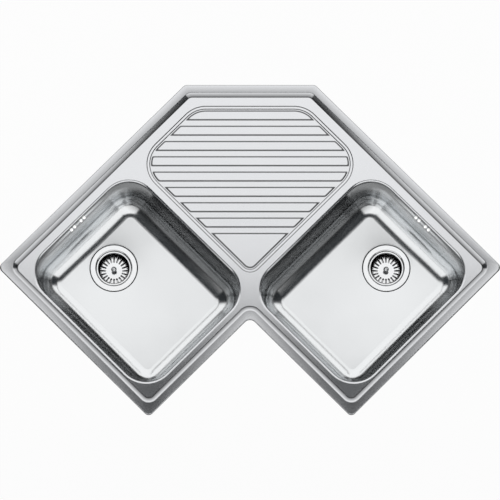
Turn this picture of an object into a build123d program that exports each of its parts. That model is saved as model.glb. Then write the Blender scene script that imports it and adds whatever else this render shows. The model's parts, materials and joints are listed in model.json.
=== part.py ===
from build123d import *
import os
from math import cos, radians, sin, sqrt, tan

os.makedirs("parts", exist_ok=True)

# Corner kitchen sink: two wings at right angles, each with one deep drawn bowl, and a
# pressed drainer on the back corner between them. Millimetres, +Z up. The worktop's
# upper face is z = 0, and the origin is on the seal under the middle of the back rim.
# +X runs to the right wing and +Y to the cut-off back corner.

# ------------------------------------------------------------------ driving sizes
# Plan
wing_length = 833.0          # along a wall, from the wing's end to the uncut corner
wing_depth = 500.0           # from the wall to the room side
corner_cut = 217.0           # leg that the back corner loses on each wall
tip_radius = 12.0            # outer corners of the rim
room_corner_radius = 16.0    # the hollow corner on the room side

# Pressed sheet and rim
sheet = 0.8                  # stainless sheet
edge_height = 3.2            # the rim's outer edge above the worktop
ridge_height = 4.0           # the rim's crest above the worktop
ridge_inset = 18.0           # crest line, in from the outer edge
step_width = 10.0            # plan width of the slope from the crest to the deck
step_height = 6.5            # from the crest down to the deck
ridge_radius = 24.0          # crest line at the outer corners
ridge_room_radius = 22.0     # crest line at the hollow corner
bend_radius = 3.0            # bends at the head and foot of the slope
fit_gap = 0.06               # radial, between a screw, stud or spigot and its hole
seal_inset = 2.5             # foam strip under the rim, in from the outer edge
seal_width = 8.0

# Drainer
drainer_inset = 56.0         # from the walls' edges to the drainer's outline
drainer_back_inset = 55.0    # from the cut corner's edge
drainer_depth = 1.6          # step down into the drainer field
press_slope = 1.5            # plan width of the drainer's small steps
drainer_radius = 62.0        # outline's four wide corners
drainer_room_radius = 23.0   # outline's corner toward the room
pad_inset = 5.5              # from the outline to the raised pads' ends
pad_pitch = 36.6
pad_width = 22.5             # front to back, at the foot
pad_corner_radius = 2.0
last_pad_pitches = 2         # room left for the large three-cornered pad

# Bowls, in each wing's own plan: u from the wing's end, v from the wall
bowl_wall_margin = 52.0      # from the wing's edges to the bowl: on the wall side,
bowl_room_margin = 45.0      # on the room side
bowl_end_margin = 36.5       # and at the wing's end
bowl_drainer_gap = 26.0      # deck between the bowl and the drainer
bowl_corner_overlap = 2.0    # the bowls' sharp plan corners would pass each other by this
bowl_radius = 66.0           # plan corners, inside the collar
bowl_edge_radius = 5.5       # roll from the deck into the bowl
collar_depth = 12.0          # from the deck down to the weld
bowl_depth = 160.0           # from the deck to the floor
bowl_draft = 5.0             # degrees
floor_radius = 45.0          # wall into floor
drain_distance = 116.5       # drain, from the bowl's edge on the wall side

# Basket strainer waste
recess_depth = 3.0           # dish in the floor that takes the strainer's flange
recess_slope = 1.5
flange_radius = 55.0
flange_gap = 0.8             # recess around the flange
flange_sheet = 1.2
flange_seal_inset = 1.0
flange_seal_width = 9.0
well_radius = 41.5           # inside
well_depth = 47.0            # from the flange's top to the well's floor
well_wall = 1.0
well_corner = 4.0            # bevel between the well's wall and floor
flange_roll = 3.0            # flange into the well
well_hole_radius = 3.3       # water holes in the well's floor
well_hole_circle = 9.6
well_hole_count = 6
floor_hole_gap = 1.5         # round the well, where it goes through the bowl's floor
screw_radius = 3.0           # central clamping screw
screw_head_radius = 5.2
screw_head_height = 2.4
screw_slot_width = 1.2
screw_length = 17.5           # ends inside the boss
waste_gasket_height = 2.5
waste_gasket_gap = 1.0       # from the floor's hole to the gasket
waste_flange_radius = 54.0
waste_flange_height = 4.0
waste_wall = 3.0
waste_gap = 2.0              # between the well and the plastic cup around it
waste_sump = 18.0            # cup's depth below the well's floor
funnel_height = 16.0
outlet_radius = 23.9         # inch and a half pipe thread, outside
outlet_bore_radius = 20.0
outlet_length = 26.0
boss_radius = 7.0            # takes the clamping screw
spoke_count = 3
spoke_width = 4.0
spoke_height = 9.0
spoke_reach = 28.0           # from the drain's axis into the funnel

# Lift-out basket
basket_gap = 0.8             # between the basket's lip and the well
basket_lip = 2.6             # lip beyond the basket's wall
basket_drop = 4.0            # lip below the strainer's flange
basket_sheet = 1.0
basket_corner = 4.0          # bevel between the basket's wall and floor
slot_count = 20
slot_width = 3.3
slot_inner_radius = 19.5
slot_outer_radius = 34.0
knob_radius = 6.5
knob_neck_radius = 3.0
knob_neck_height = 14.0      # from the basket's floor to the ball
stopper_radius = 18.5
stopper_height = 10.0        # rubber below the basket's floor
stopper_gap = 0.25           # free height at rest
stopper_width = 3.6

# Overflow
overflow_depth = 24.0        # below the deck
overflow_pitch = 10.3
overflow_hole_radius = 2.8
overflow_screw_radius = 2.0
overflow_screw_head_radius = 3.6
overflow_screw_head_height = 1.6
overflow_screw_length = 16.0
overflow_gasket = 2.0
overflow_gasket_width = 4.0
housing_width = 66.0
housing_height = 24.0
housing_depth = 17.0
housing_wall = 2.0
pipe_radius = 9.0
pipe_wall = 1.5
pipe_bend_radius = 30.0
spigot_length = 12.0
pipe_end_gap = 1.0           # from the pipe's ends to the box and the cup
inlet_drop = 20.0            # side inlet's axis below the waste body's flange
inlet_length = 16.0

# Sound pads
damping_height = 2.5
damping_radius = 16.0
damping_drain_gap = 23.0     # from the drain's dish
damping_edge_gap = 9.0       # from the curve between floor and wall, on the room side
damping_side_gap = 12.0      # the same, on the other two sides

# Worktop clamps
worktop = 38.0
stud_radius = 2.5
stud_inset = 34.8            # stud's axis, in from the outer edge
stud_tail = 12.0             # below the clamp's arm
stud_plate_length = 30.0
stud_plate_width = 8.4
stud_plate_height = 1.5
clamp_sheet = 2.5
clamp_width = 14.0
clamp_reach = 34.0           # stud's axis to the claw's tip
clamp_claw_length = 9.0
clamp_rise = 8.0             # claw above the arm
clamp_gap = 0.5              # claw below the worktop
clamp_crank = 45.0           # degrees
clamp_heel_cut = 4.0
nut_radius = 5.0
nut_height = 6.0
nut_wing_span = 20.0
nut_wing_height = 9.0
nut_wing_sheet = 2.0
clamp_wall_end_u = 110.0     # studs along the wall, from the wing's end
clamp_wall_corner_u = 430.0
clamp_end_offset = 58.0      # stud on the wing's end, from the room side
clamp_room_offset = 63.0     # stud on the room side, from the hollow corner
clamp_back_x = 100.0         # studs on the cut corner, each side of the middle

# ------------------------------------------------------------------ derived sizes
half = 1 / sqrt(2)
corner_y = seal_inset + seal_width / 2 + corner_cut * half
drainer_room_u = (wing_length - wing_depth + bowl_room_margin + bowl_corner_overlap
                  + bowl_drainer_gap)        # its two room-side edges
drainer_length = (2 * (wing_length - drainer_room_u) - corner_cut) * half - drainer_back_inset
pad_count = int(drainer_length / pad_pitch) - last_pad_pitches       # the plain strips
bowl_width = drainer_room_u - bowl_drainer_gap - bowl_end_margin     # along u
bowl_length = wing_depth - bowl_wall_margin - bowl_room_margin       # along v
bowl_u = bowl_end_margin + bowl_width / 2
bowl_v = bowl_wall_margin + bowl_length / 2
drain_v = bowl_wall_margin + drain_distance
deck_level = ridge_height - step_height
field_level = deck_level - drainer_depth
weld_level = deck_level - collar_depth
floor_level = deck_level - bowl_depth
recess_level = floor_level - recess_depth
recess_radius = flange_radius + flange_gap
floor_underside = floor_level - sheet
floor_edge_inset = (weld_level - floor_level) * tan(radians(bowl_draft)) + floor_radius
damping_start = drain_v + recess_radius + recess_slope + damping_drain_gap
damping_end = bowl_v + bowl_length / 2 - floor_edge_inset - damping_edge_gap
damping_width = bowl_width - 2 * (floor_edge_inset + damping_side_gap)
recess_underside = recess_level - sheet
flange_top = floor_level
flange_seal_height = recess_depth - flange_sheet
well_outer = well_radius + well_wall
well_floor = flange_top - well_depth
floor_hole_radius = well_outer + floor_hole_gap
waste_top = recess_underside - waste_gasket_height
cup_inner = well_outer + waste_gap
cup_outer = cup_inner + waste_wall
cup_floor = well_floor - well_wall - waste_sump
outlet_end = cup_floor - waste_wall - outlet_length
inlet_level = waste_top - inlet_drop
basket_floor = well_floor + stopper_gap + stopper_height
basket_lip_radius = well_radius - basket_gap
basket_radius = basket_lip_radius - basket_lip
basket_top = flange_top - basket_drop
clamp_top = -worktop - clamp_gap
arm_top = clamp_top - clamp_rise
arm_underside = arm_top - clamp_sheet
stud_end = arm_underside - stud_tail
housing_face = sheet + overflow_gasket
housing_middle = housing_face + housing_depth / 2
housing_floor = (deck_level - overflow_depth - housing_height / 2
                 - housing_middle * sin(radians(bowl_draft)))
spigot_radius = pipe_radius - pipe_wall - fit_gap
pipe_bore_radius = pipe_radius - 2 * pipe_wall


# ------------------------------------------------------------------ plan helpers
def wing_point(side, u, v):
    """Plan point of a wing: side is -1 left or 1 right, u from its end, v from the wall."""
    along = wing_length - u
    return (side * (along - v) * half, corner_y - (along + v) * half)


def wing_plane(side, u, v, z):
    """Level plane at a wing's point, with its x axis along the wall toward the corner."""
    x, y = wing_point(side, u, v)
    return Plane(origin=(x, y, z), x_dir=(-side, 1, 0), z_dir=(0, 0, 1))


def sink_corners(inset):
    """The plan's seven corners, moved in by inset, starting at the room-side corner."""
    cut_along = corner_cut + inset / half - inset
    right = [
        wing_point(1, wing_length - wing_depth + inset, wing_depth - inset),
        wing_point(1, inset, wing_depth - inset),
        wing_point(1, inset, inset),
        wing_point(1, wing_length - cut_along, inset),
    ]
    return right + [(-x, y) for x, y in reversed(right[1:])]


def rim_outline(inset, corner_radius, room_radius):
    """The sink's outline moved in by inset, with its own corner radii."""
    with BuildSketch() as plan:
        with BuildLine():
            radii = [room_radius] + [corner_radius] * 6
            FilletPolyline(*sink_corners(inset), radius=radii, close=True)
        make_face()
    return plan.sketch


def back_edge_y(inset):
    """The straight back edge over the cut corner, moved in by inset."""
    return corner_y - corner_cut * half - inset


def drainer_outline(inset):
    """The drainer's outline, moved in by inset."""
    with BuildSketch() as plan:
        with BuildLine():
            wall = drainer_inset + inset
            back_y = back_edge_y(drainer_back_inset + inset)
            room_u = drainer_room_u + inset
            # where the wall edge meets the back edge, the wing's end and the room edge
            back_along = (corner_y - back_y) / half - wall
            room_v = wing_length - room_u
            right = [
                wing_point(1, room_u, room_v),
                wing_point(1, room_u, wall),
                wing_point(1, wing_length - back_along, wall),
            ]
            points = right + [(-x, y) for x, y in reversed(right[1:])]
            wide = drainer_radius - inset
            radii = [drainer_room_radius - inset] + [wide] * 4
            FilletPolyline(*points, radius=radii, close=True)
        make_face()
    return plan.sketch


def bowl_outline(grow):
    """A bowl's plan inside the collar, grown by grow."""
    with BuildSketch() as plan:
        RectangleRounded(bowl_width + 2 * grow, bowl_length + 2 * grow, bowl_radius + grow)
    return plan.sketch


# ------------------------------------------------------------------ deck
def pad_outline(index, inset):
    """One raised pad: a strip of the inset drainer outline. The last one takes the rest."""
    top = back_edge_y(drainer_back_inset + pad_inset + index * pad_pitch + inset)
    bottom = top - pad_width + 2 * inset if index < pad_count else top - wing_depth
    with BuildSketch() as plan:
        add(drainer_outline(pad_inset + inset))
        with Locations((0, (top + bottom) / 2)):
            Rectangle(2 * wing_length, top - bottom, mode=Mode.INTERSECT)
        sharp = plan.vertices().filter_by(lambda v: min(abs(v.Y - top), abs(v.Y - bottom)) < 0.01)
        sharp = sharp.filter_by(lambda v: index > 0 or v.Y < top - 1)
        fillet(sharp, pad_corner_radius - inset / 2)
    return plan.sketch


def skin_form(drop):
    """Solid below the sheet's upper face, or below its underside when drop is the sheet."""
    overrun = 5 * drop       # the underside's form runs on past the skin's lower ends
    foot = weld_level - overrun
    with BuildPart() as form:
        # rim: upright edge, gentle rise to the crest
        with BuildSketch(Plane.XY.offset(-overrun)):
            add(rim_outline(drop, tip_radius - drop, room_corner_radius + drop))
        extrude(amount=edge_height - drop + overrun)
        with BuildSketch(Plane.XY.offset(edge_height - drop)):
            add(rim_outline(drop, tip_radius - drop, room_corner_radius + drop))
        with BuildSketch(Plane.XY.offset(ridge_height - drop)):
            add(rim_outline(ridge_inset, ridge_radius, ridge_room_radius))
        loft(ruled=True)
        # body under the deck
        with BuildSketch(Plane.XY.offset(foot)):
            add(rim_outline(ridge_inset, ridge_radius, ridge_room_radius))
        extrude(amount=edge_height - drop - foot)
        # slope from the crest down to the sunk deck
        with BuildSketch(Plane.XY.offset(ridge_height - drop)):
            add(rim_outline(ridge_inset, ridge_radius, ridge_room_radius))
        with BuildSketch(Plane.XY.offset(deck_level - drop)):
            add(rim_outline(ridge_inset + step_width, ridge_radius - step_width,
                            ridge_room_radius + step_width))
        loft(ruled=True, mode=Mode.SUBTRACT)
        crest = form.edges().filter_by_position(
            Axis.Z, ridge_height - drop - 0.01, ridge_height - drop + 0.01)
        fillet(crest, bend_radius - drop)
        foot_edges = form.edges().filter_by_position(
            Axis.Z, deck_level - drop - 0.01, deck_level - drop + 0.01)
        fillet(foot_edges, bend_radius)
        # drainer field and its raised pads
        with BuildSketch(Plane.XY.offset(deck_level - drop)):
            add(drainer_outline(0))
        with BuildSketch(Plane.XY.offset(field_level - drop)):
            add(drainer_outline(press_slope))
        loft(ruled=True, mode=Mode.SUBTRACT)
        for index in range(pad_count + 1):
            with BuildSketch(Plane.XY.offset(field_level - drop)):
                add(pad_outline(index, 0))
            with BuildSketch(Plane.XY.offset(deck_level - drop)):
                add(pad_outline(index, press_slope))
            loft(ruled=True)
        # bowl openings with rolled edges
        for side in (-1, 1):
            with BuildSketch(wing_plane(side, bowl_u, bowl_v, foot)):
                add(bowl_outline(drop))
            extrude(amount=deck_level - foot + ridge_height, mode=Mode.SUBTRACT)
            rim = form.edges(Select.LAST).filter_by_position(
                Axis.Z, deck_level - drop - 0.01, deck_level - drop + 0.01)
            fillet(rim, bowl_edge_radius - drop)
    return form.part


deck_underside = skin_form(sheet)
with BuildPart() as deck:
    add(skin_form(0))
    add(deck_underside, mode=Mode.SUBTRACT)
deck.part.label = "deck"
export_step(deck.part, "parts/deck.step")

# Foam strip that lies between the rim and the worktop, all the way round
with BuildPart() as rim_seal:
    with BuildSketch():
        add(rim_outline(seal_inset, tip_radius - seal_inset, room_corner_radius + seal_inset))
        inner = seal_inset + seal_width
        add(rim_outline(inner, tip_radius - inner, room_corner_radius + inner),
            mode=Mode.SUBTRACT)
    extrude(amount=ridge_height)
    add(deck_underside, mode=Mode.INTERSECT)
rim_seal.part.label = "rim_seal"
export_step(rim_seal.part, "parts/rim_seal.step")


# ------------------------------------------------------------------ bowls
def drain_section(side):
    """Upright plane through a drain's axis, with height z as its y."""
    x, y = wing_point(side, bowl_u, drain_v)
    return Plane(origin=(x, y, 0), x_dir=(1, 0, 0), z_dir=(0, -1, 0))


def drain_axis(side):
    x, y = wing_point(side, bowl_u, drain_v)
    return Axis((x, y, 0), (0, 0, 1))


def turned(side, *points, radii):
    """A round piece on a drain's axis, from its section's corners and their radii."""
    with BuildPart() as piece:
        with BuildSketch(drain_section(side)):
            with BuildLine():
                FilletPolyline(*points, radius=radii, close=True)
            make_face()
        revolve(axis=drain_axis(side))
    return piece.part


def wall_v(z):
    """Where the wall-side wall of a bowl stands at height z."""
    return bowl_v - bowl_length / 2 + (weld_level - z) * tan(radians(bowl_draft))


def overflow_plane(side, back):
    """Plane on the bowl's wall-side wall at the overflow, back behind its inner face."""
    level = deck_level - overflow_depth
    x, y = wing_point(side, bowl_u, wall_v(level))
    lean, rise = cos(radians(bowl_draft)), sin(radians(bowl_draft))
    face = Plane(origin=(x, y, level), x_dir=(half, -side * half, 0),
                 z_dir=(-side * half * lean, -half * lean, rise))
    return face.offset(-back)


def bowl_form(side, grow):
    """A bowl's inner form, or its outer form when grow is the sheet."""
    with BuildPart() as form:
        with BuildSketch(wing_plane(side, bowl_u, bowl_v, weld_level)):
            add(bowl_outline(grow))
        extrude(amount=weld_level - floor_level + grow, dir=(0, 0, -1), taper=bowl_draft)
        fillet(form.edges().group_by(Axis.Z)[0], floor_radius + grow)
        # dish for the strainer's flange
        with BuildSketch(wing_plane(side, bowl_u, drain_v, floor_level - grow)):
            Circle(recess_radius + recess_slope + grow / 2)
        with BuildSketch(wing_plane(side, bowl_u, drain_v, recess_level - grow)):
            Circle(recess_radius + grow / 2)
        loft()
    return form.part


for side, hand in ((-1, "left"), (1, "right")):
    with BuildPart() as bowl:
        add(bowl_form(side, sheet))
        add(bowl_form(side, 0), mode=Mode.SUBTRACT)
        with BuildSketch(wing_plane(side, bowl_u, drain_v, recess_level)):
            Circle(floor_hole_radius)
        extrude(amount=-2 * sheet, mode=Mode.SUBTRACT)
        with BuildSketch(overflow_plane(side, 2 * sheet)):
            with GridLocations(overflow_pitch, 0, 5, 1):
                Circle(overflow_hole_radius)
        extrude(amount=4 * sheet, mode=Mode.SUBTRACT)
    bowl.part.label = f"{hand}_bowl"
    export_step(bowl.part, f"parts/{hand}_bowl.step")

    # Damping pad glued under the floor, on the room side of the waste
    with BuildPart() as sound_pad:
        damping_v = (damping_start + damping_end) / 2
        with BuildSketch(wing_plane(side, bowl_u, damping_v, floor_underside)):
            RectangleRounded(damping_width, damping_end - damping_start, damping_radius)
        extrude(amount=-damping_height)
    sound_pad.part.label = f"{hand}_sound_pad"
    export_step(sound_pad.part, f"parts/{hand}_sound_pad.step")

# ------------------------------------------------------------------ strainer wastes
for side, hand in ((-1, "left"), (1, "right")):
    # Steel flange and well, pressed in one piece
    flange_under = flange_top - flange_sheet
    with BuildPart() as strainer:
        add(turned(
            side,
            (flange_radius, flange_top), (well_radius, flange_top),
            (well_radius, well_floor + well_corner), (well_radius - well_corner, well_floor),
            (0, well_floor), (0, well_floor - well_wall),
            (well_outer - well_corner, well_floor - well_wall),
            (well_outer, well_floor + well_corner - well_wall), (well_outer, flange_under),
            (flange_radius, flange_under),
            radii=[0, flange_roll, 0, 0, 0, 0, 0, 0, 0, 0],
        ))
        with BuildSketch(wing_plane(side, bowl_u, drain_v, well_floor)):
            Circle(screw_radius + fit_gap)
            with PolarLocations(well_hole_circle, well_hole_count):
                Circle(well_hole_radius)
        extrude(amount=-2 * well_wall, mode=Mode.SUBTRACT)
    strainer.part.label = f"{hand}_strainer"
    export_step(strainer.part, f"parts/{hand}_strainer.step")

    with BuildPart() as flange_seal:
        with BuildSketch(wing_plane(side, bowl_u, drain_v, recess_level)):
            Circle(flange_radius - flange_seal_inset)
            Circle(flange_radius - flange_seal_inset - flange_seal_width, mode=Mode.SUBTRACT)
        extrude(amount=flange_seal_height)
    flange_seal.part.label = f"{hand}_flange_seal"
    export_step(flange_seal.part, f"parts/{hand}_flange_seal.step")

    with BuildPart() as waste_gasket:
        with BuildSketch(wing_plane(side, bowl_u, drain_v, waste_top)):
            Circle(waste_flange_radius)
            Circle(floor_hole_radius + waste_gasket_gap, mode=Mode.SUBTRACT)
        extrude(amount=waste_gasket_height)
    waste_gasket.part.label = f"{hand}_waste_gasket"
    export_step(waste_gasket.part, f"parts/{hand}_waste_gasket.step")

    # Plastic waste under the floor: clamped cup, funnel and threaded outlet
    funnel_top = cup_floor + funnel_height
    with BuildPart() as waste_body:
        add(turned(
            side,
            (waste_flange_radius, waste_top), (cup_inner, waste_top),
            (cup_inner, funnel_top), (outlet_bore_radius, cup_floor),
            (outlet_bore_radius, outlet_end), (outlet_radius, outlet_end),
            (outlet_radius, cup_floor - waste_wall / 2),
            (cup_outer, funnel_top - waste_wall / 2),
            (cup_outer, waste_top - waste_flange_height),
            (waste_flange_radius, waste_top - waste_flange_height),
            radii=[0] * 10,
        ))
        # boss for the clamping screw, on spokes across the funnel
        with BuildSketch(wing_plane(side, bowl_u, drain_v, cup_floor)):
            Circle(boss_radius)
        extrude(amount=well_floor - well_wall - cup_floor)
        with BuildSketch(wing_plane(side, bowl_u, drain_v, cup_floor)):
            with PolarLocations(0, spoke_count):
                Rectangle(spoke_reach, spoke_width, align=(Align.MIN, Align.CENTER))
        extrude(amount=spoke_height)
        with BuildSketch(wing_plane(side, bowl_u, drain_v, well_floor - well_wall)):
            Circle(screw_radius + fit_gap)
        extrude(amount=cup_floor - well_floor + well_wall, mode=Mode.SUBTRACT)
        # side inlet for the overflow pipe, level, toward the wall
        x, y = wing_point(side, bowl_u, drain_v - cup_inner - waste_wall / 2)
        inlet = Plane(origin=(x, y, inlet_level), x_dir=(0, 0, 1), z_dir=(side, 1, 0))
        with BuildSketch(inlet):
            Circle(spigot_radius)
        extrude(amount=inlet_length + waste_wall / 2)
        with BuildSketch(inlet.offset(-2 * waste_wall)):
            Circle(pipe_bore_radius)
        extrude(amount=inlet_length + 4 * waste_wall, mode=Mode.SUBTRACT)
    waste_body.part.label = f"{hand}_waste_body"
    export_step(waste_body.part, f"parts/{hand}_waste_body.step")

    with BuildPart() as waste_screw:
        with BuildSketch(wing_plane(side, bowl_u, drain_v, well_floor)):
            Circle(screw_head_radius)
        extrude(amount=screw_head_height)
        chamfer(waste_screw.edges().group_by(Axis.Z)[-1], screw_head_height / 2)
        with BuildSketch(wing_plane(side, bowl_u, drain_v, well_floor + screw_head_height)):
            Rectangle(2 * screw_head_radius, screw_slot_width)
        extrude(amount=-screw_head_height / 2, mode=Mode.SUBTRACT)
        with BuildSketch(wing_plane(side, bowl_u, drain_v, well_floor)):
            Circle(screw_radius)
        extrude(amount=-screw_length)
    waste_screw.part.label = f"{hand}_waste_screw"
    export_step(waste_screw.part, f"parts/{hand}_waste_screw.step")

# ------------------------------------------------------------------ baskets
for side, hand in ((-1, "left"), (1, "right")):
    # Slotted cup with a lip that carries it in the well
    tread = basket_floor + basket_sheet
    with BuildPart() as basket:
        add(turned(
            side,
            (basket_lip_radius, basket_top), (basket_radius - basket_sheet, basket_top),
            (basket_radius - basket_sheet, tread + basket_corner),
            (basket_radius - basket_sheet - basket_corner, tread), (0, tread),
            (0, basket_floor), (basket_radius - basket_corner, basket_floor),
            (basket_radius, basket_floor + basket_corner),
            (basket_radius, basket_top - basket_sheet),
            (basket_lip_radius, basket_top - basket_sheet),
            radii=[0] * 10,
        ))
        slot_length = slot_outer_radius - slot_inner_radius
        with BuildSketch(wing_plane(side, bowl_u, drain_v, tread)):
            with PolarLocations((slot_inner_radius + slot_outer_radius) / 2, slot_count):
                Rectangle(slot_length, slot_width)
        extrude(amount=-2 * basket_sheet, mode=Mode.SUBTRACT)
    basket.part.label = f"{hand}_basket"
    export_step(basket.part, f"parts/{hand}_basket.step")

    # Rubber ring under the basket, which closes on the well's floor round the water holes
    with BuildPart() as basket_stopper:
        with BuildSketch(wing_plane(side, bowl_u, drain_v, basket_floor - stopper_height)):
            Circle(stopper_radius)
            Circle(stopper_radius - stopper_width, mode=Mode.SUBTRACT)
        extrude(amount=stopper_height)
    basket_stopper.part.label = f"{hand}_basket_stopper"
    export_step(basket_stopper.part, f"parts/{hand}_basket_stopper.step")

    # Ball knob on a short neck
    with BuildPart() as basket_knob:
        ball_level = (tread + knob_neck_height
                      + sqrt(knob_radius ** 2 - knob_neck_radius ** 2))
        with BuildSketch(drain_section(side)):
            with Locations((0, ball_level)):
                Circle(knob_radius)
            with Locations((0, (tread + ball_level) / 2)):
                Rectangle(2 * knob_neck_radius, ball_level - tread)
            with Locations((knob_radius, ball_level)):
                Rectangle(2 * knob_radius, 2 * (ball_level - tread + knob_radius),
                          mode=Mode.INTERSECT)
        revolve(axis=drain_axis(side))
    basket_knob.part.label = f"{hand}_basket_knob"
    export_step(basket_knob.part, f"parts/{hand}_basket_knob.step")

# ------------------------------------------------------------------ overflows
for side, hand in ((-1, "left"), (1, "right")):
    with BuildPart() as overflow_gasket_ring:
        with BuildSketch(overflow_plane(side, sheet)):
            SlotOverall(housing_width, housing_height)
            SlotOverall(housing_width - 2 * overflow_gasket_width,
                        housing_height - 2 * overflow_gasket_width, mode=Mode.SUBTRACT)
        extrude(amount=-overflow_gasket)
    overflow_gasket_ring.part.label = f"{hand}_overflow_gasket"
    export_step(overflow_gasket_ring.part, f"parts/{hand}_overflow_gasket.step")

    # Plastic box behind the holes, with a boss for its screw and a spigot for the pipe
    pipe_v = wall_v(deck_level - overflow_depth) - housing_middle
    with BuildPart() as housing:
        with BuildSketch(overflow_plane(side, housing_face)):
            SlotOverall(housing_width, housing_height)
        extrude(amount=-housing_depth)
        away = overflow_plane(side, 0)
        back = housing.faces().sort_by(Axis(away.origin, away.z_dir))[0]
        chamfer(back.edges(), housing_wall / 2)
        with BuildSketch(overflow_plane(side, housing_face)):
            SlotOverall(housing_width - 2 * housing_wall, housing_height - 2 * housing_wall)
        extrude(amount=-(housing_depth - housing_wall), mode=Mode.SUBTRACT)
        with BuildSketch(overflow_plane(side, housing_face)):
            Circle(overflow_screw_radius + housing_wall)
        extrude(amount=-housing_depth)
        with BuildSketch(overflow_plane(side, housing_face)):
            Circle(overflow_screw_radius + fit_gap)
        extrude(amount=-housing_depth + housing_wall, mode=Mode.SUBTRACT)
        # spigot down from the floor of the box
        with BuildSketch(wing_plane(side, bowl_u, pipe_v, housing_floor + housing_wall / 2)):
            Circle(spigot_radius)
        extrude(amount=-spigot_length - housing_wall / 2)
        with BuildSketch(wing_plane(side, bowl_u, pipe_v, housing_floor + 2 * housing_wall)):
            Circle(pipe_bore_radius)
        extrude(amount=-spigot_length - 2 * housing_wall, mode=Mode.SUBTRACT)
    housing.part.label = f"{hand}_overflow_housing"
    export_step(housing.part, f"parts/{hand}_overflow_housing.step")

    with BuildPart() as overflow_screw:
        with BuildSketch(overflow_plane(side, 0)):
            Circle(overflow_screw_head_radius)
        extrude(amount=overflow_screw_head_height)
        face = overflow_plane(side, 0)
        head = overflow_screw.faces().sort_by(Axis(face.origin, face.z_dir))[-1]
        chamfer(head.edges(), overflow_screw_head_height / 2)
        with BuildSketch(overflow_plane(side, 0)):
            Circle(overflow_screw_radius)
        extrude(amount=-overflow_screw_length)
    overflow_screw.part.label = f"{hand}_overflow_screw"
    export_step(overflow_screw.part, f"parts/{hand}_overflow_screw.step")

    # Pipe over both spigots: down behind the bowl and in under its floor
    top = housing_floor - pipe_end_gap
    end_v = drain_v - cup_outer - pipe_end_gap
    upright = Plane(origin=(*wing_point(side, bowl_u, pipe_v), 0),
                    x_dir=(-side, -1, 0), z_dir=(-1, side, 0))
    with BuildPart() as overflow_pipe:
        with BuildLine(upright):
            FilletPolyline((0, top), (0, inlet_level), (end_v - pipe_v, inlet_level),
                           radius=pipe_bend_radius)
        with BuildSketch(wing_plane(side, bowl_u, pipe_v, top)):
            Circle(pipe_radius)
            Circle(pipe_radius - pipe_wall, mode=Mode.SUBTRACT)
        sweep()
    overflow_pipe.part.label = f"{hand}_overflow_pipe"
    export_step(overflow_pipe.part, f"parts/{hand}_overflow_pipe.step")

# ------------------------------------------------------------------ worktop clamps
def wing_heading(side, along_wall, into_room):
    """Plan direction in a wing, from its parts along the wall and into the room."""
    return (-side * half * (along_wall + into_room), half * (along_wall - into_room))


clamp_places = []            # stud's x and y, then the arm's heading when folded in
for side in (-1, 1):
    for u, v, heading in (
        (clamp_wall_end_u, stud_inset, (1, 0)),
        (clamp_wall_corner_u, stud_inset, (1, 0)),
        (stud_inset, wing_depth - clamp_end_offset, (0, 1)),
        (wing_length - wing_depth - clamp_room_offset, wing_depth - stud_inset, (-1, 0)),
    ):
        clamp_places.append(wing_point(side, u, v) + wing_heading(side, *heading))
    clamp_places.append((side * clamp_back_x, back_edge_y(stud_inset), -side, 0))

deck_under = deck_level - sheet
plate_under = deck_under - stud_plate_height
with BuildPart() as clamp_studs:
    for x, y, dx, dy in clamp_places:
        with BuildSketch(Plane(origin=(x, y, plate_under), x_dir=(dx, dy, 0), z_dir=(0, 0, 1))):
            Rectangle(stud_plate_length, stud_plate_width)
        extrude(amount=stud_plate_height)
        with BuildSketch(Plane(origin=(x, y, stud_end), x_dir=(dx, dy, 0), z_dir=(0, 0, 1))):
            Circle(stud_radius)
        extrude(amount=plate_under - stud_end)
clamp_studs.part.label = "clamp_studs"
export_step(clamp_studs.part, "parts/clamp_studs.step")

for number, (x, y, dx, dy) in enumerate(clamp_places, 1):
    side_view = Plane(origin=(x, y, 0), x_dir=(dx, dy, 0), z_dir=(dy, -dx, 0))
    claw_start = clamp_reach - clamp_claw_length
    crank_run = clamp_rise / tan(radians(clamp_crank))
    bend_shift = clamp_sheet * tan(radians(clamp_crank / 2))
    heel = -clamp_width / 2
    # Cranked strap: level arm round the stud, then a rise to the claw
    with BuildPart() as clamp_arm:
        with BuildSketch(side_view):
            with BuildLine():
                Polyline(
                    (heel, arm_underside), (claw_start - crank_run, arm_underside),
                    (claw_start, arm_underside + clamp_rise),
                    (clamp_reach, arm_underside + clamp_rise), (clamp_reach, clamp_top),
                    (claw_start - bend_shift, clamp_top),
                    (claw_start - crank_run - bend_shift, arm_top), (heel, arm_top),
                    close=True)
            make_face()
        extrude(amount=clamp_width / 2, both=True)
        upright_edges = clamp_arm.edges().filter_by(Axis.Z)
        chamfer(upright_edges.sort_by(Axis((x, y, 0), (dx, dy, 0)))[:2], clamp_heel_cut)
        with BuildSketch(Plane(origin=(x, y, arm_underside))):
            Circle(stud_radius + fit_gap)
        extrude(amount=clamp_sheet, mode=Mode.SUBTRACT)
    clamp_arm.part.label = f"clamp_arm_{number}"
    export_step(clamp_arm.part, f"parts/clamp_arm_{number}.step")

    # Wing nut under the arm
    with BuildPart() as clamp_nut:
        nut_end = Plane(origin=(x, y, arm_underside - nut_height), x_dir=(dx, dy, 0),
                        z_dir=(0, 0, 1))
        with BuildSketch(nut_end):
            RegularPolygon(nut_radius, 6)
        extrude(amount=nut_height)
        with BuildSketch(side_view):
            with Locations((0, arm_underside - nut_height / 2 - nut_wing_height / 2)):
                Rectangle(nut_wing_span, nut_wing_height)
        extrude(amount=nut_wing_sheet / 2, both=True)
        with BuildSketch(nut_end.offset(-nut_wing_height)):
            Circle(stud_radius + fit_gap)
        extrude(amount=nut_height + nut_wing_height, mode=Mode.SUBTRACT)
    clamp_nut.part.label = f"clamp_nut_{number}"
    export_step(clamp_nut.part, f"parts/clamp_nut_{number}.step")
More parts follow.
